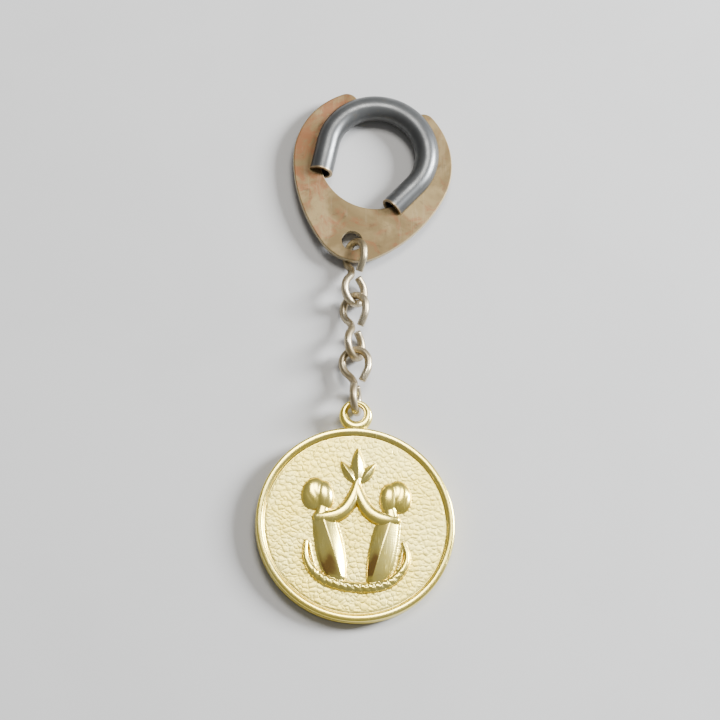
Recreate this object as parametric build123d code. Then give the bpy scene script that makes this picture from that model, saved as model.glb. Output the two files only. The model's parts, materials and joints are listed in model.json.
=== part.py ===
from build123d import *
from math import asin, cos, radians, sin, sqrt, tan
import os

# A souvenir medal on a key fob. A flat clasp plate carries a slotted tube that slides round the
# rim of its opening, three figure-eight chain links hang from its eye, and the last link holds
# a struck medal made of two halves joined back to back.
# It lies face up: +Z up, +Y from the medal towards the clasp. Millimetres and degrees.

# ---- clasp plate, in its own frame: round part's centre at the origin, eye towards -Y ----
plate_thick = 1.1
plate_round_r = 15.25
flank_r = 30.0
flank_from_deg = 76.0  # from the tip's direction, where the round part gives way to a flank
tip_r = 8.0
opening_r = 10.3
opening_up = 0.5  # its centre, from the round part's
mouth_half_deg = 26.0
horn_outer_r = 2.2
horn_inner_r = 1.2
eye_r = 2.0
eye_drop = 17.1
plate_edge_r = 0.3
plate_turn = -13.5  # how far the plate lies turned from the chain's line

# ---- slide ring: a slit tube bent like a horseshoe round the rim of the opening ----
tube_od = 4.6
tube_wall = 0.55
slot_width = 1.6
bow_r = 9.65  # centreline of its round part
bow_half_deg = 105.0
bow_ahead = 1.5  # round part's centre, from the opening's
arm_len = 6.6
ring_turn_deg = 76.5  # which way the bow points, in the plate's frame

# ---- chain link: one wire, its two loops a quarter turn apart ----
wire_d = 1.4
loop_half = 2.45  # half a loop's width, between wire centres
link_span = 12.36  # between the centres of the two end wires
shoulder = 2.4  # waist to where a loop's sides start to close in
waist_off = 0.78  # wire centre from the link's axis at the waist
waist_rise = 0.66
upper_tail = (1.2, -0.1)  # where the wire's two ends stop, beside the waist
lower_tail = (0.78, 0.81)
loop_bend_r = 2.42
wire_bend_r = 3.0  # every other bend
wire_gap = 0.1  # between one link's wire and the next

# ---- medal, in its own frame: middle of the joint plane at the origin, face +Z ----
medal_r = 18.0
medal_thick = 2.6
rim_land = 0.95
rim_slope = 0.5
field_depth = 0.5
seam_bevel = 0.15
rim_edge_r = 0.22
relief_height = 0.7
garland_y = -1.4
garland_r = 9.7
garland_wide = 1.8
garland_top = -1.6  # its ends, from its own centre
bail_y = 20.5
bail_r = 3.05
bail_hole_y = 21.0
bail_hole_r = 1.5
bail_thick = 1.5
bail_edge_r = 0.3
medal_tilt = 2.4  # the bail end is propped up by the last link

# ---- layout on the table ----
plate_x = 3.3  # plate's round part from the medal's centre
plate_y = 72.2
chain_top_y = 55.3  # end wire of the first link, inside the eye
floor_gap = 0.04
# top x, top z, bottom x, bottom z and roll of each link, from the clasp to the medal
link_lie = [
    (-0.1, 2.75, -0.25, 2.6, 53.0),
    (-0.25, 2.6, -0.1, 2.7, 38.0),
    (-0.1, 2.7, 0.0, 3.2, 17.0),
]


def plate_outline():
    """Round top, two flatter flanks and a round tip, every arc tangent to the next."""
    turn = radians(flank_from_deg)
    join = Vector(plate_round_r * sin(turn), -plate_round_r * cos(turn))
    reach = flank_r - plate_round_r
    centre = Vector(-reach * sin(turn), reach * cos(turn))
    tip_y = centre.Y - sqrt((flank_r - tip_r) ** 2 - centre.X**2)
    heading = (Vector(0, tip_y) - centre).normalized()
    low = centre + heading * flank_r
    lean = radians((flank_from_deg - 90) * 0.5) + asin(-heading.Y) * 0.5
    flank = centre + Vector(cos(lean), -sin(lean)) * flank_r
    mirror_of = [Vector(-p.X, p.Y) for p in (join, flank, low)]
    with BuildSketch() as s:
        with BuildLine():
            ThreePointArc(join, (0, plate_round_r), mirror_of[0])
            ThreePointArc(mirror_of[0], mirror_of[1], mirror_of[2])
            ThreePointArc(mirror_of[2], (0, tip_y - tip_r), low)
            ThreePointArc(low, flank, join)
        make_face()
    return s.sketch


def clasp_plate():
    far = plate_round_r * 2
    half = radians(mouth_half_deg)
    with BuildPart() as p:
        with BuildSketch(Plane.XY.offset(-plate_thick / 2)):
            add(plate_outline())
            with Locations((0, opening_up)):
                Circle(opening_r, mode=Mode.SUBTRACT)
            Polygon(
                (0, 0),
                (far * sin(half), far * cos(half)),
                (-far * sin(half), far * cos(half)),
                align=None,
                mode=Mode.SUBTRACT,
            )
            with Locations((0, -eye_drop)):
                Circle(eye_r, mode=Mode.SUBTRACT)
        extrude(amount=plate_thick)
        upright = p.edges().filter_by(Axis.Z)
        corners = [e for e in upright if e.center().Y > opening_r * 0.5 and abs(e.center().X) > 1]
        middle = (plate_round_r + opening_r) / 2
        outer = [e for e in corners if e.center().length > middle]
        inner = [e for e in corners if e.center().length < middle]
        fillet(outer, horn_outer_r)
        fillet(inner, horn_inner_r)
        rims = p.faces().filter_by(Axis.Z)
        fillet([e for f in rims for e in f.outer_wire().edges()], plate_edge_r)
    return p.part


def slide_ring():
    """A slit tube: a round bow, then two straight arms that draw together."""
    outside = tube_od / 2
    with BuildSketch(Plane.XZ) as section:
        with Locations((bow_r, 0)):
            Circle(outside)
            Circle(outside - tube_wall, mode=Mode.SUBTRACT)
        with Locations((bow_r + outside, 0)):
            Rectangle(tube_od, slot_width, mode=Mode.SUBTRACT)
    bow = revolve(section.sketch, axis=Axis.Z, revolution_arc=2 * bow_half_deg)
    right_arm = extrude(section.sketch, amount=arm_len)
    left_arm = extrude(section.sketch, amount=-arm_len)
    ring = bow.rotate(Axis.Z, -bow_half_deg)
    ring += right_arm.rotate(Axis.Z, -bow_half_deg)
    ring += left_arm.rotate(Axis.Z, bow_half_deg)
    ring = ring.translate((bow_ahead, 0, 0)).rotate(Axis.Z, ring_turn_deg)
    return ring.translate((0, opening_up, 0))


def bent_wire(corners, bends):
    """Straight runs between the corners, with an arc of the given radius at each one."""
    edges = []
    here = corners[0]
    for before, corner, after, bend in zip(corners, corners[1:], corners[2:], bends):
        back = (before - corner).normalized()
        ahead = (after - corner).normalized()
        half_turn = radians(180 - back.get_angle(ahead)) / 2
        reach = bend * tan(half_turn)
        inward = (back + ahead).normalized()
        middle = corner + inward * (bend / cos(half_turn) - bend)
        edges.append(Edge.make_line(here, corner + back * reach))
        here = corner + ahead * reach
        edges.append(Edge.make_three_point_arc(corner + back * reach, middle, here))
    edges.append(Edge.make_line(here, corners[-1]))
    return edges


def link_path():
    """From the upper loop's free end, round it, through the waist and round the lower loop."""
    end = link_span / 2
    loop = [
        Vector(loop_half, shoulder, 0),
        Vector(loop_half, end, 0),
        Vector(-loop_half, end, 0),
        Vector(-loop_half, shoulder, 0),
        Vector(-waist_off, waist_rise, 0.1),
    ]
    upper = [Vector(*upper_tail, 0)] + loop
    # the lower loop is the upper one turned end for end and a quarter turn about the link
    lower = [Vector(-v.Z, -v.Y, -v.X) for v in reversed([Vector(*lower_tail, 0)] + loop)]
    bends = [wire_bend_r, loop_bend_r, loop_bend_r, wire_bend_r, wire_bend_r]
    return bent_wire(upper + lower, bends + bends[::-1])


def chain_link():
    edges = link_path()
    section = Plane(origin=edges[0] @ 0, z_dir=edges[0] % 0) * Circle(wire_d / 2)
    return sweep(section, path=Wire(edges), transition=Transition.RIGHT)


def garland():
    """A band along the lower part of a circle, cut off level at its two ends."""
    with BuildSketch() as s:
        with Locations((0, garland_y)):
            Circle(garland_r + garland_wide / 2)
            Circle(garland_r - garland_wide / 2, mode=Mode.SUBTRACT)
            with Locations((0, medal_r / 2 + garland_top)):
                Rectangle(medal_r * 2, medal_r, mode=Mode.SUBTRACT)
    return s.sketch


def relief():
    """A plain raised version of the design: two seated figures, a flower and a garland."""
    with BuildSketch() as s:
        for side in (-1, 1):
            with Locations((side * 7.4, 5.3)):
                Ellipse(2.6, 2.9)
            with BuildLine():
                Polyline(
                    (side * 8.6, 2.2),
                    (side * 5.2, 2.0),
                    (side * 1.3, 6.2),
                    (side * 0.5, 4.6),
                    (side * 4.2, -0.2),
                    (side * 2.0, -9.8),
                    (side * 6.8, -9.6),
                    (side * 8.2, -4.0),
                    close=True,
                )
            make_face()
        with Locations((0, 11.2)):
            Ellipse(1.3, 3.4)
        with Locations(Location((1.6, 9.2), -32), Location((-1.6, 9.2), 32)):
            Ellipse(0.9, 2.4)
        with Locations((0, 6.4)):
            Circle(1.1)
        add(garland())
    raised = extrude(s.sketch, amount=relief_height)
    return raised.translate((0, 0, medal_thick / 2 - field_depth))


def medal_half():
    """The shape both halves share, standing on the joint plane at z = 0."""
    half = medal_thick / 2
    land = medal_r - rim_land
    with BuildPart() as p:
        with BuildSketch(Plane.XZ):
            Polygon(
                (0, 0),
                (medal_r - seam_bevel, 0),
                (medal_r, seam_bevel),
                (medal_r, half),
                (land, half),
                (land - rim_slope, half - field_depth),
                (0, half - field_depth),
                align=None,
            )
        revolve(axis=Axis.Z)
        with BuildSketch():
            with Locations((0, bail_y)):
                Circle(bail_r)
        extrude(amount=bail_thick / 2)
        with BuildSketch():
            with Locations((0, bail_hole_y)):
                Circle(bail_hole_r)
        extrude(amount=half, mode=Mode.SUBTRACT)
        top = p.edges().filter_by(GeomType.CIRCLE).filter_by_position(Axis.Z, half, half)
        fillet(top.filter_by(lambda e: e.radius > medal_r - 0.1), rim_edge_r)
        high = p.edges().filter_by(GeomType.CIRCLE).filter_by_position(
            Axis.Z, bail_thick / 2, bail_thick / 2
        )
        fillet(high.filter_by(lambda e: e.center().Y > medal_r), bail_edge_r)
    return p.part


def medal_face():
    return medal_half() + relief()


def medal_back():
    return medal_half().rotate(Axis.Y, 180)


def lay_medal(shape):
    """Tilt about the X axis and set the lowest point of the rim just above the floor."""
    lift = medal_r * sin(radians(medal_tilt)) + medal_thick / 2 * cos(radians(medal_tilt))
    return shape.rotate(Axis.X, medal_tilt).translate((0, 0, lift + floor_gap))


def lay_clasp(shape):
    z = tube_od / 2 + floor_gap
    return shape.rotate(Axis.Z, plate_turn).translate((plate_x, plate_y, z))


def link_ends():
    """Centre of each link's two end wires, walking down the chain."""
    ends = []
    y = chain_top_y
    for top_x, top_z, low_x, low_z, roll in link_lie:
        drop = sqrt(link_span**2 - (top_x - low_x) ** 2 - (top_z - low_z) ** 2)
        ends.append((Vector(top_x, y, top_z), Vector(low_x, y - drop, low_z)))
        y += wire_d + wire_gap - drop
    return ends


def lay_link(shape, index):
    top, low = link_ends()[index]
    roll = radians(link_lie[index][4])
    along = (top - low).normalized()
    across = Vector(cos(roll), 0, sin(roll))
    across = (across - along * across.dot(along)).normalized()
    where = Plane(origin=(top + low) / 2, x_dir=across, z_dir=across.cross(along))
    return shape.moved(where.location)


def placed():
    """Every piece where it lies, the medal's centre over the origin."""
    pieces = {
        "clasp_plate": lay_clasp(clasp_plate()),
        "slide_ring": lay_clasp(slide_ring()),
    }
    link = chain_link()
    for index in range(len(link_lie)):
        pieces[f"chain_link_{index + 1}"] = lay_link(link, index)
    pieces["medal_face"] = lay_medal(medal_face())
    pieces["medal_back"] = lay_medal(medal_back())
    return pieces


def centred(pieces):
    box = Compound(list(pieces.values())).bounding_box()
    shift = Vector(-(box.min.X + box.max.X) / 2, -(box.min.Y + box.max.Y) / 2, -box.min.Z)
    return {name: shape.translate(shift) for name, shape in pieces.items()}, shift


if __name__ == "__main__":
    os.makedirs("parts", exist_ok=True)
    pieces, shift = centred(placed())
    for name, shape in pieces.items():
        export_step(shape, f"parts/{name}.step")
    print("moved by", tuple(round(v, 4) for v in (shift.X, shift.Y, shift.Z)))
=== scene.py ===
import json
from math import asin, cos, degrees, hypot, pi, radians, sin, sqrt, tan

import bmesh
import bpy
import numpy as np
from mathutils import Matrix, Vector, noise


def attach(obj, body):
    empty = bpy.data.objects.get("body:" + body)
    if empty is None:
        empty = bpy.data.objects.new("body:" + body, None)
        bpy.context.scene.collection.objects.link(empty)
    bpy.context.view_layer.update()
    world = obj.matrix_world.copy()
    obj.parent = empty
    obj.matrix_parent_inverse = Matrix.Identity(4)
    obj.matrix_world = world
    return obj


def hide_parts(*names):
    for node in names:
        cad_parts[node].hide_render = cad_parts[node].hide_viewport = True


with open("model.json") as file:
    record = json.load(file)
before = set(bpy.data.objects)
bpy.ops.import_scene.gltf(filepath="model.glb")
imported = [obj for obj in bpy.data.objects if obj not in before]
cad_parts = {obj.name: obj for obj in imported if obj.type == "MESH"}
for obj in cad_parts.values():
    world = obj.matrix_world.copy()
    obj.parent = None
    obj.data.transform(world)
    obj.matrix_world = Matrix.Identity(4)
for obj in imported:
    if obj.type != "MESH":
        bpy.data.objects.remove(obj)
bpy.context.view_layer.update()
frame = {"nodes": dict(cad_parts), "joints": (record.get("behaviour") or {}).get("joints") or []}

mm = 0.001
joints = {joint["name"]: joint for joint in frame["joints"]}
print("frame loaded,", len(frame["nodes"]), "nodes")


# small helpers

def makePiece(bm, name, material, sharpAngle=None):
    mesh = bpy.data.meshes.new(name)
    bm.to_mesh(mesh)
    bm.free()
    mesh.materials.append(material)
    mesh.shade_smooth()
    if sharpAngle:
        mesh.set_sharp_from_angle(angle=radians(sharpAngle))
    piece = bpy.data.objects.new(name, mesh)
    bpy.context.scene.collection.objects.link(piece)
    return piece


def standIn(piece, body, node):
    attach(piece, body)
    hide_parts(node)


def addNode(tree, kind, settings=None, **inputs):
    # inputs are named like the sockets, with _ for a space, or i0 and i1 for a socket known by its number
    made = tree.nodes.new(kind)
    for key, value in (settings or {}).items():
        setattr(made, key, value)
    for key, value in inputs.items():
        numbered = key[0] == "i" and key[1:].isdigit()
        socket = made.inputs[int(key[1:]) if numbered else key.replace("_", " ")]
        if isinstance(value, bpy.types.NodeSocket):
            tree.links.new(value, socket)
        else:
            socket.default_value = value
    return made


def maths(tree, operation, first, second=0.0, clamp=False):
    made = addNode(tree, "ShaderNodeMath", {"operation": operation, "use_clamp": clamp}, i0=first, i1=second)
    return made.outputs[0]


def remap(tree, value, low, high, toLow=0.0, toHigh=1.0):
    made = addNode(tree, "ShaderNodeMapRange", {"interpolation_type": "SMOOTHSTEP"}, Value=value)
    made.inputs["From Min"].default_value = low
    made.inputs["From Max"].default_value = high
    made.inputs["To Min"].default_value = toLow
    made.inputs["To Max"].default_value = toHigh
    return made.outputs["Result"]


def blendColour(tree, amount, first, second, mode="MIX"):
    made = tree.nodes.new("ShaderNodeMix")
    made.data_type = "RGBA"
    made.blend_type = mode
    for socket, value in ((made.inputs[0], amount), (made.inputs[6], first), (made.inputs[7], second)):
        if isinstance(value, bpy.types.NodeSocket):
            tree.links.new(value, socket)
        else:
            socket.default_value = value
    return made.outputs[2]


def newGroup(name, inputs, outputs):
    tree = bpy.data.node_groups.new(name, "ShaderNodeTree")
    for label, kind, value in inputs:
        socket = tree.interface.new_socket(name=label, in_out="INPUT", socket_type=kind)
        if value is not None:
            socket.default_value = value
    for label, kind in outputs:
        tree.interface.new_socket(name=label, in_out="OUTPUT", socket_type=kind)
    return tree, tree.nodes.new("NodeGroupInput"), tree.nodes.new("NodeGroupOutput")


# shared finishes

def makePatinaGroup():
    # broad stains, small spots and a fine grain, each from 0 to 1
    tree, given, result = newGroup(
        "patina",
        [("Vector", "NodeSocketVector", None), ("Stain Scale", "NodeSocketFloat", 120.0),
         ("Spot Scale", "NodeSocketFloat", 700.0), ("Grain Scale", "NodeSocketFloat", 3000.0)],
        [("Stains", "NodeSocketFloat"), ("Spots", "NodeSocketFloat"), ("Grain", "NodeSocketFloat")],
    )
    vector = given.outputs["Vector"]
    stains = addNode(tree, "ShaderNodeTexNoise", Vector=vector, Scale=given.outputs["Stain Scale"],
                     Detail=4.0, Roughness=0.6, Distortion=0.6)
    spots = addNode(tree, "ShaderNodeTexNoise", Vector=vector, Scale=given.outputs["Spot Scale"],
                    Detail=5.0, Roughness=0.7)
    grain = addNode(tree, "ShaderNodeTexNoise", Vector=vector, Scale=given.outputs["Grain Scale"],
                    Detail=2.0, Roughness=0.5)
    tree.links.new(remap(tree, stains.outputs["Fac"], 0.36, 0.66), result.inputs["Stains"])
    tree.links.new(remap(tree, spots.outputs["Fac"], 0.56, 0.74), result.inputs["Spots"])
    tree.links.new(grain.outputs["Fac"], result.inputs["Grain"])
    return tree


def makeScuffGroup():
    # hair-fine scratches running two ways, as a mask and as a height
    tree, given, result = newGroup(
        "scuffs",
        [("Vector", "NodeSocketVector", None), ("Scale", "NodeSocketFloat", 500.0),
         ("Width", "NodeSocketFloat", 0.02)],
        [("Scratches", "NodeSocketFloat"), ("Height", "NodeSocketFloat")],
    )
    found = []
    for turn, stretch in ((0.5, 0.06), (-0.9, 0.09)):
        turned = addNode(tree, "ShaderNodeMapping", Vector=given.outputs["Vector"],
                         Rotation=(0.0, 0.0, turn), Scale=(1.0, stretch, 1.0))
        wave = addNode(tree, "ShaderNodeTexNoise", Vector=turned.outputs["Vector"],
                       Scale=given.outputs["Scale"], Detail=2.0, Roughness=0.55)
        off = maths(tree, "ABSOLUTE", maths(tree, "SUBTRACT", wave.outputs["Fac"], 0.5))
        near = maths(tree, "DIVIDE", off, given.outputs["Width"])
        line = maths(tree, "SUBTRACT", 1.0, near, clamp=True)
        patch = addNode(tree, "ShaderNodeTexNoise", Vector=given.outputs["Vector"], Scale=160.0 + 40 * turn)
        found.append(maths(tree, "MULTIPLY", line, remap(tree, patch.outputs["Fac"], 0.5, 0.62)))
    mask = maths(tree, "MAXIMUM", found[0], found[1])
    tree.links.new(mask, result.inputs["Scratches"])
    tree.links.new(maths(tree, "SUBTRACT", 1.0, mask), result.inputs["Height"])
    return tree


patinaGroup = makePatinaGroup()
scuffGroup = makeScuffGroup()


def startMaterial(name):
    material = bpy.data.materials.new(name)
    material.use_nodes = True
    tree = material.node_tree
    shader = tree.nodes["Principled BSDF"]
    place = tree.nodes.new("ShaderNodeTexCoord").outputs["Object"]
    return material, tree, shader, place


def usePatina(tree, place, stain, spot, grain):
    made = addNode(tree, "ShaderNodeGroup", {"node_tree": patinaGroup}, Vector=place)
    made.inputs["Stain Scale"].default_value = stain
    made.inputs["Spot Scale"].default_value = spot
    made.inputs["Grain Scale"].default_value = grain
    return made.outputs


def useScuffs(tree, place, scale, width):
    made = addNode(tree, "ShaderNodeGroup", {"node_tree": scuffGroup}, Vector=place)
    made.inputs["Scale"].default_value = scale
    made.inputs["Width"].default_value = width
    return made.outputs


def bumpFrom(tree, height, strength, distance, below=None):
    made = addNode(tree, "ShaderNodeBump", Height=height, Strength=strength, Distance=distance)
    if below is not None:
        tree.links.new(below, made.inputs["Normal"])
    return made.outputs["Normal"]


# clasp plate: tarnished brass sheet

plateLook = {
    "tan": (0.135, 0.086, 0.026, 1), "pale": (0.20, 0.138, 0.050, 1), "rust": (0.17, 0.052, 0.010, 1),
    # edge is bright worn metal, used for the scratches and for the rounded edges, where it is also a painted
    # highlight
    "dark": (0.05, 0.030, 0.014, 1), "edge": (0.50, 0.42, 0.26, 1), "roughness": (0.46, 0.62), "metal": 0.35,
    "centre": (0.003025, 0.0379737, 0.0023), "rustSide": 15.25 * mm,
}


def makePlateMaterial():
    material, tree, shader, place = startMaterial("tarnishedPlate")
    patina = usePatina(tree, place, 110.0, 620.0, 2600.0)
    scuffs = useScuffs(tree, place, 420.0, 0.02)
    rust = addNode(tree, "ShaderNodeTexNoise", Vector=place, Scale=260.0, Detail=5.0, Roughness=0.65,
                   Distortion=1.2)
    colour = blendColour(tree, patina["Stains"], plateLook["tan"], plateLook["pale"])
    # the rust gathers on the left horn
    moved = addNode(tree, "ShaderNodeMapping", Vector=place, Location=tuple(-c for c in plateLook["centre"]))
    sides = addNode(tree, "ShaderNodeSeparateXYZ", Vector=moved.outputs["Vector"]).outputs
    leftward = maths(tree, "SUBTRACT", maths(tree, "MULTIPLY", sides["Y"], 0.5), sides["X"])
    gather = remap(tree, leftward, -0.2 * plateLook["rustSide"], 1.1 * plateLook["rustSide"], 0.0, 0.16)
    patches = remap(tree, maths(tree, "ADD", rust.outputs["Fac"], gather), 0.50, 0.74, 0.0, 0.8)
    colour = blendColour(tree, patches, colour, plateLook["rust"])
    colour = blendColour(tree, maths(tree, "MULTIPLY", patina["Spots"], 0.4), colour, plateLook["dark"])
    colour = blendColour(tree, maths(tree, "MULTIPLY", scuffs["Scratches"], 0.08), colour, plateLook["edge"])
    # the rounded edges are worn bright and also carry a painted highlight: lighter colour wherever the
    # surface no longer faces straight up or down
    facing = addNode(tree, "ShaderNodeTexCoord").outputs["Normal"]
    upward = maths(tree, "ABSOLUTE", addNode(tree, "ShaderNodeSeparateXYZ", Vector=facing).outputs["Z"])
    worn = remap(tree, upward, 0.97, 0.55, 0.0, 0.8)
    colour = blendColour(tree, worn, colour, plateLook["edge"])
    tree.links.new(colour, shader.inputs["Base Color"])
    shader.inputs["Metallic"].default_value = plateLook["metal"]
    low, high = plateLook["roughness"]
    rough = remap(tree, patina["Stains"], 0.0, 1.0, high, low)
    rough = maths(tree, "ADD", rough, maths(tree, "MULTIPLY", patina["Spots"], 0.15))
    rough = maths(tree, "SUBTRACT", rough, maths(tree, "MULTIPLY", worn, 0.2))
    tree.links.new(rough, shader.inputs["Roughness"])
    soft = bumpFrom(tree, rust.outputs["Fac"], 0.25, 0.12 * mm)
    fine = bumpFrom(tree, patina["Grain"], 0.25, 0.02 * mm, soft)
    tree.links.new(bumpFrom(tree, scuffs["Height"], 0.12, 0.015 * mm, fine), shader.inputs["Normal"])
    return material


plateMaterial = makePlateMaterial()
frame["nodes"]["clasp_plate"].data.materials.clear()
frame["nodes"]["clasp_plate"].data.materials.append(plateMaterial)
print("clasp plate finished")


# slide ring: dark slit tube

ringShape = {
    "tubeRadius": 2.3, "wall": 0.55, "slot": 1.6, "bow": 9.65, "bowHalf": 105.0, "ahead": 1.5, "arm": 6.6,
    "turn": 63.0,  # which way the bow points
    "bowSteps": 150, "armSteps": 22, "around": 44, "lip": 0.13,
    "splay": 0.3,  # how far bending has pushed the outer wall out at the front
    "wornEnd": 1.1,  # length of bare metal at each end
}


def makeRingMaterial():
    material, tree, shader, place = startMaterial("darkTube")
    patina = usePatina(tree, place, 130.0, 900.0, 4200.0)
    scuffs = useScuffs(tree, place, 700.0, 0.018)
    worn = addNode(tree, "ShaderNodeAttribute", {"attribute_name": "worn"}).outputs["Fac"]
    colour = blendColour(tree, patina["Stains"], (0.080, 0.082, 0.082, 1), (0.125, 0.128, 0.126, 1))
    colour = blendColour(tree, maths(tree, "MULTIPLY", patina["Spots"], 0.35), colour, (0.16, 0.13, 0.09, 1))
    ragged = maths(tree, "ADD", worn, maths(tree, "MULTIPLY", patina["Spots"], 0.25))
    bare = remap(tree, ragged, 0.55, 0.95, 0.0, 0.9)
    colour = blendColour(tree, bare, colour, (0.36, 0.26, 0.14, 1))
    tree.links.new(colour, shader.inputs["Base Color"])
    shader.inputs["Metallic"].default_value = 0.6
    rough = maths(tree, "ADD", remap(tree, patina["Stains"], 0.0, 1.0, 0.36, 0.29),
                  maths(tree, "MULTIPLY", scuffs["Scratches"], 0.12))
    tree.links.new(rough, shader.inputs["Roughness"])
    fine = bumpFrom(tree, patina["Grain"], 0.15, 0.012 * mm)
    tree.links.new(bumpFrom(tree, scuffs["Height"], 0.3, 0.015 * mm, fine), shader.inputs["Normal"])
    return material


def makeSlideRing(material):
    s = ringShape
    bm = bmesh.new()
    half = asin(s["slot"] / 2 / s["tubeRadius"])  # the slot faces outwards
    centre = Vector((s["bow"], 0, 0))
    start = bmesh.ops.create_vert(bm, co=centre + Vector((cos(half), 0, sin(half))) * s["tubeRadius"])["vert"]
    bmesh.ops.spin(bm, geom=start, cent=centre, axis=(0, -1, 0), angle=2 * (pi - half),
                   steps=s["around"], use_duplicate=False)
    worn = bm.verts.layers.float.new("worn")
    first = bm.edges[:]
    last = bmesh.ops.spin(bm, geom=first, cent=(0, 0, 0), axis=(0, 0, 1), angle=radians(2 * s["bowHalf"]),
                          steps=s["bowSteps"], use_duplicate=False)["geom_last"]
    turnBack = Matrix.Rotation(-radians(s["bowHalf"]), 3, "Z")
    bmesh.ops.rotate(bm, verts=bm.verts[:], cent=(0, 0, 0), matrix=turnBack)
    for v in bm.verts:  # bending has splayed the outer wall a little at the front
        out = hypot(v.co.x, v.co.y) - s["bow"]
        front = max(v.co.x / hypot(v.co.x, v.co.y), 0.0) ** 2
        flat = Vector((v.co.x, v.co.y, 0)).normalized()
        v.co += flat * max(out, 0.0) / s["tubeRadius"] * s["splay"] * front
    for edges, side in ((first, -1), ([g for g in last if isinstance(g, bmesh.types.BMEdge)], 1)):
        angle = radians(s["bowHalf"]) * side
        step = Vector((-sin(angle), cos(angle), 0)) * side * s["arm"] / s["armSteps"]
        for k in range(s["armSteps"]):
            grown = bmesh.ops.extrude_edge_only(bm, edges=edges)["geom"]
            verts = [g for g in grown if isinstance(g, bmesh.types.BMVert)]
            edges = [g for g in grown if isinstance(g, bmesh.types.BMEdge)]
            bmesh.ops.translate(bm, verts=verts, vec=step)
            gap = s["arm"] * (1 - (k + 1) / s["armSteps"])
            for v in verts:
                v[worn] = max(1 - gap / s["wornEnd"], 0.0)
    bmesh.ops.recalc_face_normals(bm, faces=bm.faces[:])
    inner = min(bm.faces, key=lambda f: f.calc_center_median().length)
    if inner.normal.dot(inner.calc_center_median()) > 0:
        bmesh.ops.reverse_faces(bm, faces=bm.faces[:])
    bmesh.ops.solidify(bm, geom=bm.faces[:], thickness=s["wall"])
    bmesh.ops.recalc_face_normals(bm, faces=bm.faces[:])
    rims = [e for e in bm.edges if len(e.link_faces) == 2 and e.calc_face_angle() > radians(50)]
    bmesh.ops.bevel(bm, geom=rims, offset=s["lip"], segments=3, affect="EDGES", profile=0.5, material=-1)
    bmesh.ops.translate(bm, verts=bm.verts[:], vec=(s["ahead"], 0, 0))
    bowTurn = Matrix.Rotation(radians(s["turn"]), 3, "Z")
    bmesh.ops.rotate(bm, verts=bm.verts[:], cent=(0, 0, 0), matrix=bowTurn)
    bmesh.ops.scale(bm, verts=bm.verts[:], vec=(mm, mm, mm))
    bmesh.ops.translate(bm, verts=bm.verts[:], vec=joints["ring_slide"]["pos_m"])
    return makePiece(bm, "slideRing", material, 40)


standIn(makeSlideRing(makeRingMaterial()), "ring", "slide_ring")
print("slide ring made")


# chain links: bent wire, its two loops a quarter turn apart

linkShape = {
    "wire": 0.7, "loopHalf": 2.45, "span": 12.36, "shoulder": 2.4, "waistOff": 0.78, "waistRise": 0.66,
    "upperTail": (1.2, -0.1), "lowerTail": (0.78, 0.81),  # where the wire's two ends stop, beside the waist
    "loopBend": 2.42, "bend": 3.0, "around": 24, "endRound": 0.16, "dents": 0.02,
    # top, bottom and roll of each link as it lies, in the row frame
    "lie": [
        ((-0.375, 21.0737, 2.71), (-0.525, 8.7156, 2.56), 53.0),
        ((-0.525, 10.2156, 2.56), (-0.375, -2.1431, 2.66), 38.0),
        ((-0.375, -0.6431, 2.66), (-0.275, -12.9926, 3.16), 17.0),
    ],
}


def makeWireMaterial():
    material, tree, shader, place = startMaterial("dullWire")
    patina = usePatina(tree, place, 260.0, 1100.0, 5200.0)
    scuffs = useScuffs(tree, place, 1500.0, 0.03)
    colour = blendColour(tree, patina["Stains"], (0.34, 0.27, 0.155, 1), (0.52, 0.445, 0.30, 1))
    colour = blendColour(tree, maths(tree, "MULTIPLY", patina["Spots"], 0.6), colour, (0.20, 0.13, 0.07, 1))
    scratched = maths(tree, "MULTIPLY", scuffs["Scratches"], 0.5)
    colour = blendColour(tree, scratched, colour, (0.72, 0.68, 0.58, 1))
    tree.links.new(colour, shader.inputs["Base Color"])
    shader.inputs["Metallic"].default_value = 0.92
    rough = remap(tree, patina["Stains"], 0.0, 1.0, 0.42, 0.26)
    tree.links.new(rough, shader.inputs["Roughness"])
    fine = bumpFrom(tree, patina["Grain"], 0.3, 0.015 * mm)
    tree.links.new(bumpFrom(tree, scuffs["Height"], 0.4, 0.02 * mm, fine), shader.inputs["Normal"])
    return material


def drawWire(bm, start, heading, steps):
    # carries a circle along straights and bends; a bend turns the heading about its axis
    s = linkShape
    aim = heading.to_track_quat("Z", "Y").to_matrix().to_4x4()
    bmesh.ops.create_circle(bm, cap_ends=False, radius=s["wire"], segments=s["around"],
                            matrix=Matrix.Translation(start) @ aim)
    edges = bm.edges[:]
    place = start.copy()
    for kind, amount, radius, axis in steps:
        if kind == "straight":
            grown = bmesh.ops.extrude_edge_only(bm, edges=edges)["geom"]
            verts = [g for g in grown if isinstance(g, bmesh.types.BMVert)]
            bmesh.ops.translate(bm, verts=verts, vec=heading * amount)
            place += heading * amount
        else:
            axis = Vector(axis)
            centre = place + axis.cross(heading) * radius
            grown = bmesh.ops.spin(bm, geom=edges, cent=centre, axis=axis, angle=radians(amount),
                                   steps=max(3, round(abs(amount) / 6)), use_duplicate=False)["geom_last"]
            turn = Matrix.Rotation(radians(amount), 3, axis)
            place = centre + turn @ (place - centre)
            heading = turn @ heading
        edges = [g for g in grown if isinstance(g, bmesh.types.BMEdge)]


def linkCorners():
    # one loop's corners, then the same turned end for end and a quarter turn about the link
    s = linkShape
    half, end = s["loopHalf"], s["span"] / 2
    loop = [
        Vector((half, s["shoulder"], 0)), Vector((half, end, 0)), Vector((-half, end, 0)),
        Vector((-half, s["shoulder"], 0)), Vector((-s["waistOff"], s["waistRise"], 0.1)),
    ]
    upper = [Vector((*s["upperTail"], 0))] + loop
    return upper + [Vector((-v.z, -v.y, -v.x)) for v in reversed([Vector((*s["lowerTail"], 0))] + loop)]


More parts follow.
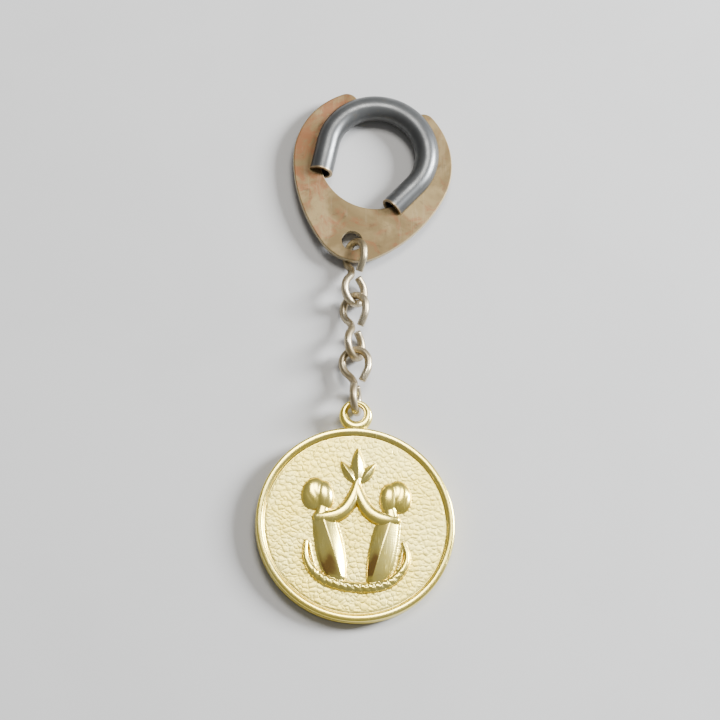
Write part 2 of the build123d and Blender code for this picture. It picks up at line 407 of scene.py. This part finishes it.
def wireSteps(corners, bends):
    # straights between the corners, shortened by the bend at each
    steps = []
    used = 0.0
    for before, corner, after, bend in zip(corners, corners[1:], corners[2:], bends):
        back, ahead = before - corner, after - corner
        turn = pi - back.angle(ahead)
        reach = bend * tan(turn / 2)
        steps.append(("straight", back.length - used - reach, 0, None))
        steps.append(("bend", degrees(turn), bend, ahead.cross(back).normalized()))
        used = reach
    steps.append(("straight", (corners[-1] - corners[-2]).length - used, 0, None))
    return steps


def makeLink(index, material):
    s = linkShape
    bm = bmesh.new()
    corners = linkCorners()
    bends = [s["bend"], s["loopBend"], s["loopBend"], s["bend"], s["bend"]]
    drawWire(bm, corners[0], (corners[1] - corners[0]).normalized(), wireSteps(corners, bends + bends[::-1]))
    cutEnds = [e for e in bm.edges if len(e.link_faces) == 1]
    caps = bmesh.ops.holes_fill(bm, edges=cutEnds)["faces"]
    bmesh.ops.bevel(bm, geom=list({e for f in caps for e in f.edges}), offset=s["endRound"], segments=3,
                    affect="EDGES", profile=0.5, material=-1)
    bmesh.ops.recalc_face_normals(bm, faces=bm.faces[:])
    for v in bm.verts:  # hand-closed wire is never quite even
        v.co += v.normal * s["dents"] * noise.noise(v.co * 0.9 + Vector((index * 7.0, 0, 0)))
    top, low, roll = s["lie"][index]
    top, low = Vector(top), Vector(low)
    along = (top - low).normalized()
    across = Vector((cos(radians(roll)), 0, sin(radians(roll))))
    across = (across - along * across.dot(along)).normalized()
    turn = Matrix((across, along, across.cross(along))).transposed()
    bmesh.ops.rotate(bm, verts=bm.verts[:], cent=(0, 0, 0), matrix=turn)
    bmesh.ops.translate(bm, verts=bm.verts[:], vec=(top + low) / 2)
    bmesh.ops.scale(bm, verts=bm.verts[:], vec=(mm, mm, mm))
    return makePiece(bm, f"chainLink{index + 1}", material, 60)


wireMaterial = makeWireMaterial()
for index in range(3):
    standIn(makeLink(index, wireMaterial), f"link_{index + 1}", f"chain_link_{index + 1}")
print("chain links made")


# medal: two struck halves back to back

medalShape = {
    "place": (-0.275, -34.2263, 2.0526), "tilt": 2.4,  # its joint's middle as it lies, top end raised
    "fieldRadius": 16.3, "fieldHeight": 0.8, "grid": 134,
    "pebble": 1.05, "pebbleHeight": 0.085, "reliefScale": (0.976, 0.945), "reliefMove": (0.15, -0.25),
    # radius and height of each ring of the rim, from the field outwards and down to the joint
    "rim": [(16.42, 0.77), (16.55, 0.80), (16.7, 0.98), (16.86, 1.2), (17.0, 1.28), (17.3, 1.3), (17.6, 1.3),
            (17.82, 1.25), (17.95, 1.14), (18.0, 1.0), (18.0, 0.6), (18.0, 0.2), (17.95, 0.08), (17.85, 0.0)],
    "bailY": 20.5, "bailRadius": 3.05, "holeY": 21.0, "holeRadius": 1.5, "bailHalf": 0.75,
}


def softCorners(points, rounds=3):
    # cuts the corners of a stroke again and again until it flows
    points = np.array(points, float)
    for _ in range(rounds):
        ahead = points[:-1] * 0.75 + points[1:] * 0.25
        behind = points[:-1] * 0.25 + points[1:] * 0.75
        between = np.stack([ahead, behind], 1).reshape(-1, points.shape[1])
        points = np.vstack([points[:1], between, points[-1:]])
    return points


def stroke(x, y, points, squareness=2.0):
    # a rounded ridge through points of (x, y, half width, height)
    best = np.zeros_like(x)
    points = softCorners(points)
    for (x0, y0, w0, h0), (x1, y1, w1, h1) in zip(points, points[1:]):
        dx, dy = x1 - x0, y1 - y0
        t = np.clip(((x - x0) * dx + (y - y0) * dy) / (dx * dx + dy * dy + 1e-9), 0, 1)
        q = np.hypot(x - x0 - t * dx, y - y0 - t * dy) / (w0 + (w1 - w0) * t)
        best = np.maximum(best, (h0 + (h1 - h0) * t) * np.clip(1 - q ** squareness, 0, 1) ** 0.5)
    return best


def dome(x, y, cx, cy, rx, ry, lean, height, squareness=2.0):
    c, s = cos(radians(lean)), sin(radians(lean))
    u, v = (x - cx) * c + (y - cy) * s, -(x - cx) * s + (y - cy) * c
    q = np.hypot(u / rx, v / ry)
    return height * np.clip(1 - q ** squareness, 0, 1) ** 0.5


def petal(x, y, x0, y0, x1, y1, half, height):
    # a pointed leaf with a ridge down its middle
    length = sqrt((x1 - x0) ** 2 + (y1 - y0) ** 2)
    dx, dy = (x1 - x0) / length, (y1 - y0) / length
    t = np.clip(((x - x0) * dx + (y - y0) * dy) / length, 0, 1)
    off = np.abs((x - x0) * -dy + (y - y0) * dx)
    inside = ((x - x0) * dx + (y - y0) * dy >= 0) & ((x - x0) * dx + (y - y0) * dy <= length)
    wide = half * np.clip(np.sin(pi * t ** 0.85), 0, 1) ** 0.75 + 1e-6
    return np.where(inside, height * np.clip(1 - off / wide, 0, 1) ** 0.6 * (0.55 + 0.45 * np.sin(pi * t)), 0)


def torso(x, y):
    # two long facets that meet in a crest from the shoulder down to the lap: x, y, width of the
    # outer facet, width of the inner one, height
    line = softCorners([(-6.3, 1.1, 1.9, 2.5, 0.9), (-5.1, -2.6, 2.85, 2.45, 1.12),
                        (-4.1, -6.0, 3.3, 2.15, 1.14), (-3.4, -8.5, 3.1, 1.6, 1.02),
                        (-2.9, -10.2, 1.9, 1.1, 0.8)])
    best = np.zeros_like(x)
    for (x0, y0, l0, r0, h0), (x1, y1, l1, r1, h1) in zip(line, line[1:]):
        dx, dy = x1 - x0, y1 - y0
        length = sqrt(dx * dx + dy * dy)
        t = np.clip(((x - x0) * dx + (y - y0) * dy) / length ** 2, 0, 1)
        side = ((x - x0) * -dy + (y - y0) * dx) / length  # above nought towards the inside
        wide = np.where(side > 0, r0 + (r1 - r0) * t, l0 + (l1 - l0) * t)
        q = np.hypot(x - x0 - t * dx, y - y0 - t * dy) / wide
        fall = np.clip(1 - 0.72 * q ** 1.15, 0, 1) * np.clip((1 - q) / 0.22, 0, 1) ** 0.5
        best = np.maximum(best, (h0 + (h1 - h0) * t) * fall)
    return best


def figure(x, y):
    # one seated figure, turned to the middle of the medal, its arm raised to the flower
    arm = stroke(x, y, [(-7.2, 1.3, 1.0, 0.8), (-5.6, 1.25, 1.35, 1.02), (-3.6, 1.75, 1.4, 1.08),
                        (-2.0, 3.0, 1.3, 1.04), (-0.9, 4.9, 1.2, 0.98), (-0.3, 6.7, 0.95, 0.86),
                        (0.0, 8.3, 0.6, 0.66)], 2.8)
    neck = stroke(x, y, [(-6.2, 3.6, 1.1, 0.7), (-6.5, 1.8, 1.3, 0.8)], 2.6)
    head = dome(x, y, -6.0, 5.5, 1.8, 3.0, 4, 1.02, 2.2)
    hair = dome(x, y, -7.9, 5.9, 2.3, 3.2, -8, 0.9, 2.2)
    bend = np.hypot(x + 4.6, y - 7.4)
    hair = hair * (1 - 0.035 * (0.5 + 0.5 * np.cos(bend * 5.2)) ** 2)
    return np.maximum.reduce([torso(x, y), arm, neck, head, hair])


def lapDarkReflection(x, y, shape):
    # painted dark reflection: a mask for darker colour on the low facets that fall away to the left, away
    # from the lamp
    rise = (shape(x + 0.12, y) - shape(x - 0.12, y)) / 0.24
    low = np.clip((-3.6 - y + 0.8 * np.sin(2.3 * x)) / 4.2, 0, 1) ** 1.5 * np.clip((y + 10.6) / 0.8, 0, 1)
    return np.clip((rise - 0.08) / 0.16, 0, 1) * low * (shape(x, y) > 0.3)


def garland(x, y):
    # a twisted rope under the figures, its ends turned up
    line = softCorners([(-9.3, -3.5, 0.4, 0.45), (-9.5, -6.5, 0.65, 0.6), (-8.1, -9.3, 0.95, 0.75),
                        (-5.6, -11.1, 1.02, 0.82), (-2.0, -12.1, 1.05, 0.84), (2.0, -12.3, 1.05, 0.84),
                        (5.4, -11.6, 1.02, 0.82), (7.4, -10.1, 0.95, 0.75), (9.0, -8.0, 0.8, 0.7),
                        (9.5, -5.7, 0.6, 0.6), (8.7, -3.3, 0.4, 0.45)])
    best = np.zeros_like(x)
    run = 0.0
    for (x0, y0, w0, h0), (x1, y1, w1, h1) in zip(line, line[1:]):
        dx, dy = x1 - x0, y1 - y0
        length = sqrt(dx * dx + dy * dy)
        t = np.clip(((x - x0) * dx + (y - y0) * dy) / length ** 2, 0, 1)
        side = ((x - x0) * -dy + (y - y0) * dx) / length
        q = np.hypot(x - x0 - t * dx, y - y0 - t * dy) / (w0 + (w1 - w0) * t)
        twist = 0.5 + 0.5 * np.cos(2 * pi * ((run + t * length) / 1.35 + side * 0.5))
        cut = 0.3 * (1 - twist) ** 2 * np.clip((-8.8 - y) / 1.2, 0, 1)
        best = np.maximum(best, (h0 + (h1 - h0) * t) * np.clip(1 - q ** 2.2, 0, 1) ** 0.5 * (1 - cut))
        run += length
    for side in (-1, 1):
        best = np.maximum(best, stroke(x, y, [(side * 7.2, -9.4, 0.3, 0.35), (side * 8.1, -7.0, 0.32, 0.42),
                                              (side * 8.7, -3.7, 0.28, 0.36)]))
    return best


def flower(x, y):
    stem = stroke(x, y, [(0.0, 4.9, 0.5, 0.6), (0.1, 6.8, 0.75, 0.72), (0.15, 8.9, 0.7, 0.62)])
    middle = petal(x, y, 0.15, 8.0, 0.2, 15.2, 1.35, 0.9)
    left = petal(x, y, -0.2, 8.2, -3.0, 12.5, 1.0, 0.74)
    right = petal(x, y, 0.5, 8.2, 3.5, 12.2, 1.05, 0.76)
    return np.maximum.reduce([stem, middle, left, right])


def pebbles(x, y):
    # struck ground of small cushions with sunk joints between them
    size = medalShape["pebble"]
    height = np.empty_like(x)
    for i in range(len(x)):
        near = noise.voronoi(Vector((x[i] / size, y[i] / size * 1.12, 3.7)))[0]
        gap = min(max((near[1] - near[0]) / 0.45, 0.0), 1.0)
        height[i] = sqrt(gap * (2 - gap)) - 0.25 * near[0]
    return height * medalShape["pebbleHeight"]


def discGrid(bm, radius, count):
    # a square grid pulled out to a round one, so that its cells stay nearly equal
    bmesh.ops.create_grid(bm, x_segments=count * 2, y_segments=count * 2, size=1.0)
    for v in bm.verts:
        u, w = v.co.x, v.co.y
        reach = max(abs(u), abs(w))
        if reach > 1e-9:
            angle = pi / 4 * (w / u) if abs(u) >= abs(w) else pi / 2 - pi / 4 * (u / w)
            flip = 1 if (u if abs(u) >= abs(w) else w) > 0 else -1
            v.co = Vector((cos(angle), sin(angle), 0)) * reach * radius * flip


def makeMedalHalf(name, material, withFigures):
    s = medalShape
    bm = bmesh.new()
    discGrid(bm, s["fieldRadius"], s["grid"] if withFigures else s["grid"] * 2 // 3)
    polish = bm.verts.layers.float.new("polish")
    paintedReflection = bm.verts.layers.float.new("paintedReflection")
    edge = [e for e in bm.edges if len(e.link_faces) == 1]
    x = np.array([v.co.x for v in bm.verts])
    y = np.array([v.co.y for v in bm.verts])
    fade = np.clip((s["fieldRadius"] - np.hypot(x, y)) / 0.25, 0, 1)
    ground = pebbles(x, y) * fade
    raised = np.zeros_like(x)
    lapReflection = np.zeros_like(x)
    if withFigures:
        u = (x - s["reliefMove"][0]) / s["reliefScale"][0]
        v = (y - s["reliefMove"][1]) / s["reliefScale"][1]
        mirrored = figure(-u, v + 0.2)
        raised = np.maximum.reduce([figure(u, v), mirrored, garland(u, v), flower(u, v)])
        # painted dark reflection on the lap facets of both figures
        lapReflection = np.maximum(lapDarkReflection(u, v, torso), lapDarkReflection(u, v, lambda a, b: torso(-a, b)))
    height = np.maximum(ground * np.clip(1 - raised / 0.2, 0, 1), raised)
    for v, h, r, b in zip(bm.verts, height, raised, lapReflection):
        v.co.z = s["fieldHeight"] + h
        v[polish] = min(1.0, r / 0.12)
        v[paintedReflection] = b * min(1.0, r / 0.12)
    for radius, z in s["rim"]:
        grown = bmesh.ops.extrude_edge_only(bm, edges=edge)["geom"]
        edge = [g for g in grown if isinstance(g, bmesh.types.BMEdge)]
        for g in grown:
            if isinstance(g, bmesh.types.BMVert):
                flat = Vector((g.co.x, g.co.y, 0)).normalized() * radius
                g.co = Vector((flat.x, flat.y, z))
                g[polish] = 1.0
    bmesh.ops.holes_fill(bm, edges=edge)
    addBail(bm, polish)
    bmesh.ops.recalc_face_normals(bm, faces=bm.faces[:])
    if not withFigures:
        bmesh.ops.rotate(bm, verts=bm.verts[:], cent=(0, 0, 0), matrix=Matrix.Rotation(pi, 3, "Y"))
    lean = Matrix.Rotation(radians(s["tilt"]), 3, "X")
    bmesh.ops.rotate(bm, verts=bm.verts[:], cent=(0, 0, 0), matrix=lean)
    bmesh.ops.translate(bm, verts=bm.verts[:], vec=s["place"])
    bmesh.ops.scale(bm, verts=bm.verts[:], vec=(mm, mm, mm))
    return makePiece(bm, name, material, 50)


def addBail(bm, polish):
    # half of a rounded ring whose hole sits off centre, sunk a little into the rim
    s = medalShape
    loop = bmesh.ops.create_circle(bm, cap_ends=False, radius=s["bailRadius"], segments=72,
                                   matrix=Matrix.Translation((0, s["bailY"], 0)))["verts"]
    first = edges = list({e for v in loop for e in v.link_edges})
    made = list(loop)
    radius, middle = s["bailRadius"], s["bailY"]
    steps = 14
    for k in range(1, steps + 1):
        grown = bmesh.ops.extrude_edge_only(bm, edges=edges)["geom"]
        edges = [g for g in grown if isinstance(g, bmesh.types.BMEdge)]
        verts = [g for g in grown if isinstance(g, bmesh.types.BMVert)]
        made += verts
        share = (1 - cos(pi * k / steps)) / 2
        before, lastMiddle = radius, middle
        radius = s["bailRadius"] + (s["holeRadius"] - s["bailRadius"]) * share
        middle = s["bailY"] + (s["holeY"] - s["bailY"]) * share
        rise = s["bailHalf"] * max(sin(pi * k / steps), 0.0) ** 0.75
        for v in verts:
            out = Vector((v.co.x, v.co.y - lastMiddle, 0)) / before
            v.co = Vector((out.x * radius, middle + out.y * radius, rise))
    bmesh.ops.bridge_loops(bm, edges=first + edges)
    for v in made:
        v[polish] = 1.0


def makeMedalMaterial():
    material, tree, shader, place = startMaterial("paleGoldPlate")
    patina = usePatina(tree, place, 150.0, 900.0, 5000.0)
    scuffs = useScuffs(tree, place, 900.0, 0.02)
    polish = addNode(tree, "ShaderNodeAttribute", {"attribute_name": "polish"}).outputs["Fac"]
    paintedReflection = addNode(tree, "ShaderNodeAttribute", {"attribute_name": "paintedReflection"}).outputs["Fac"]
    edge = addNode(tree, "ShaderNodeNewGeometry").outputs["Pointiness"]
    colour = blendColour(tree, patina["Stains"], (0.98, 0.78, 0.15, 1), (0.99, 0.84, 0.24, 1))
    # painted shade: darker, deeper gold in the hollows and creases of the relief, where the surface curves
    # inward
    colour = blendColour(tree, remap(tree, edge, 0.495, 0.43, 0.0, 0.75), colour, (0.62, 0.38, 0.05, 1))
    colour = blendColour(tree, maths(tree, "MULTIPLY", patina["Spots"], 0.25), colour, (0.60, 0.40, 0.17, 1))
    mottle = maths(tree, "ADD", 0.6, maths(tree, "MULTIPLY", patina["Stains"], 0.5))
    mottledReflection = maths(tree, "MULTIPLY", paintedReflection, mottle)
    # painted dark reflection: deep golden brown on those lap facets, mottled by the stains
    colour = blendColour(tree, remap(tree, mottledReflection, 0.12, 0.85, 0.0, 0.85), colour, (0.36, 0.17, 0.05, 1))
    tree.links.new(colour, shader.inputs["Base Color"])
    shader.inputs["Metallic"].default_value = 0.95
    rough = remap(tree, polish, 0.0, 1.0, 0.40, 0.20)
    rough = maths(tree, "ADD", rough, maths(tree, "MULTIPLY", scuffs["Scratches"], 0.12))
    tree.links.new(rough, shader.inputs["Roughness"])
    ground = maths(tree, "MULTIPLY", patina["Grain"], maths(tree, "SUBTRACT", 1.0, polish))
    fine = bumpFrom(tree, ground, 0.6, 0.03 * mm)
    tree.links.new(bumpFrom(tree, scuffs["Height"], 0.08, 0.008 * mm, fine), shader.inputs["Normal"])
    return material


medalMaterial = makeMedalMaterial()
standIn(makeMedalHalf("medalFace", medalMaterial, True), "medal", "medal_face")
standIn(makeMedalHalf("medalBack", medalMaterial, False), "medal", "medal_back")
print("medal made")


# table top, light and camera

studio = {
    "floor": (0.50, 0.495, 0.485, 1), "world": (0.90, 0.90, 0.90, 1), "worldStrength": 0.28,
    # where each lamp stands, what it looks at, its two sides and its power
    "lamps": [
        ("window", (0.74, 0.25, 0.44), (0.0, 0.0, 0.0), 0.24, 0.36, 32.0, (0.93, 0.96, 1.0)),
        ("overhead", (0.06, 0.30, 0.72), (0.0, 0.0, 0.0), 0.34, 0.26, 5.0, (1.0, 0.98, 0.95)),
    ],
}
view = {
    "place": (-0.0466, -0.1637, 0.4171), "along": (0.1054, 0.3603, -0.9269), "up": (0, 1, 0), "lens": 121.15,
}


def makeFloor():
    bm = bmesh.new()
    bmesh.ops.create_grid(bm, x_segments=2, y_segments=2, size=1.5)
    bmesh.ops.translate(bm, verts=bm.verts[:], vec=(0, 0, -0.00002))
    material, tree, shader, place = startMaterial("tableTop")
    patina = usePatina(tree, place, 30.0, 400.0, 2500.0)
    darker = tuple(c * 0.97 for c in studio["floor"][:3]) + (1,)
    colour = blendColour(tree, patina["Stains"], studio["floor"], darker)
    tree.links.new(colour, shader.inputs["Base Color"])
    shader.inputs["Roughness"].default_value = 0.7
    tree.links.new(bumpFrom(tree, patina["Grain"], 0.1, 0.05 * mm), shader.inputs["Normal"])
    return makePiece(bm, "tableTop", material)


def makeLamps():
    for name, place, target, wide, tall, power, colour in studio["lamps"]:
        light = bpy.data.lights.new(name, "AREA")
        light.shape = "RECTANGLE"
        light.size, light.size_y, light.energy, light.color = wide, tall, power, colour
        lamp = bpy.data.objects.new(name, light)
        lamp.location = place
        lamp.rotation_euler = (Vector(target) - Vector(place)).to_track_quat("-Z", "Y").to_euler()
        bpy.context.scene.collection.objects.link(lamp)


def makeWorld():
    world = bpy.data.worlds.new("room")
    world.use_nodes = True
    background = world.node_tree.nodes["Background"]
    background.inputs["Color"].default_value = studio["world"]
    background.inputs["Strength"].default_value = studio["worldStrength"]
    bpy.context.scene.world = world


def makeCamera():
    data = bpy.data.cameras.new("camera")
    data.lens = view["lens"]
    data.sensor_width = 36.0
    data.clip_start = 0.01
    camera = bpy.data.objects.new("camera", data)
    along = Vector(view["along"]).normalized()
    right = along.cross(Vector(view["up"])).normalized()
    turn = Matrix((right, right.cross(along), -along)).transposed()
    camera.matrix_world = Matrix.Translation(view["place"]) @ turn.to_4x4()
    bpy.context.scene.collection.objects.link(camera)
    bpy.context.scene.camera = camera


makeFloor()
makeLamps()
makeWorld()
makeCamera()
print("studio set")
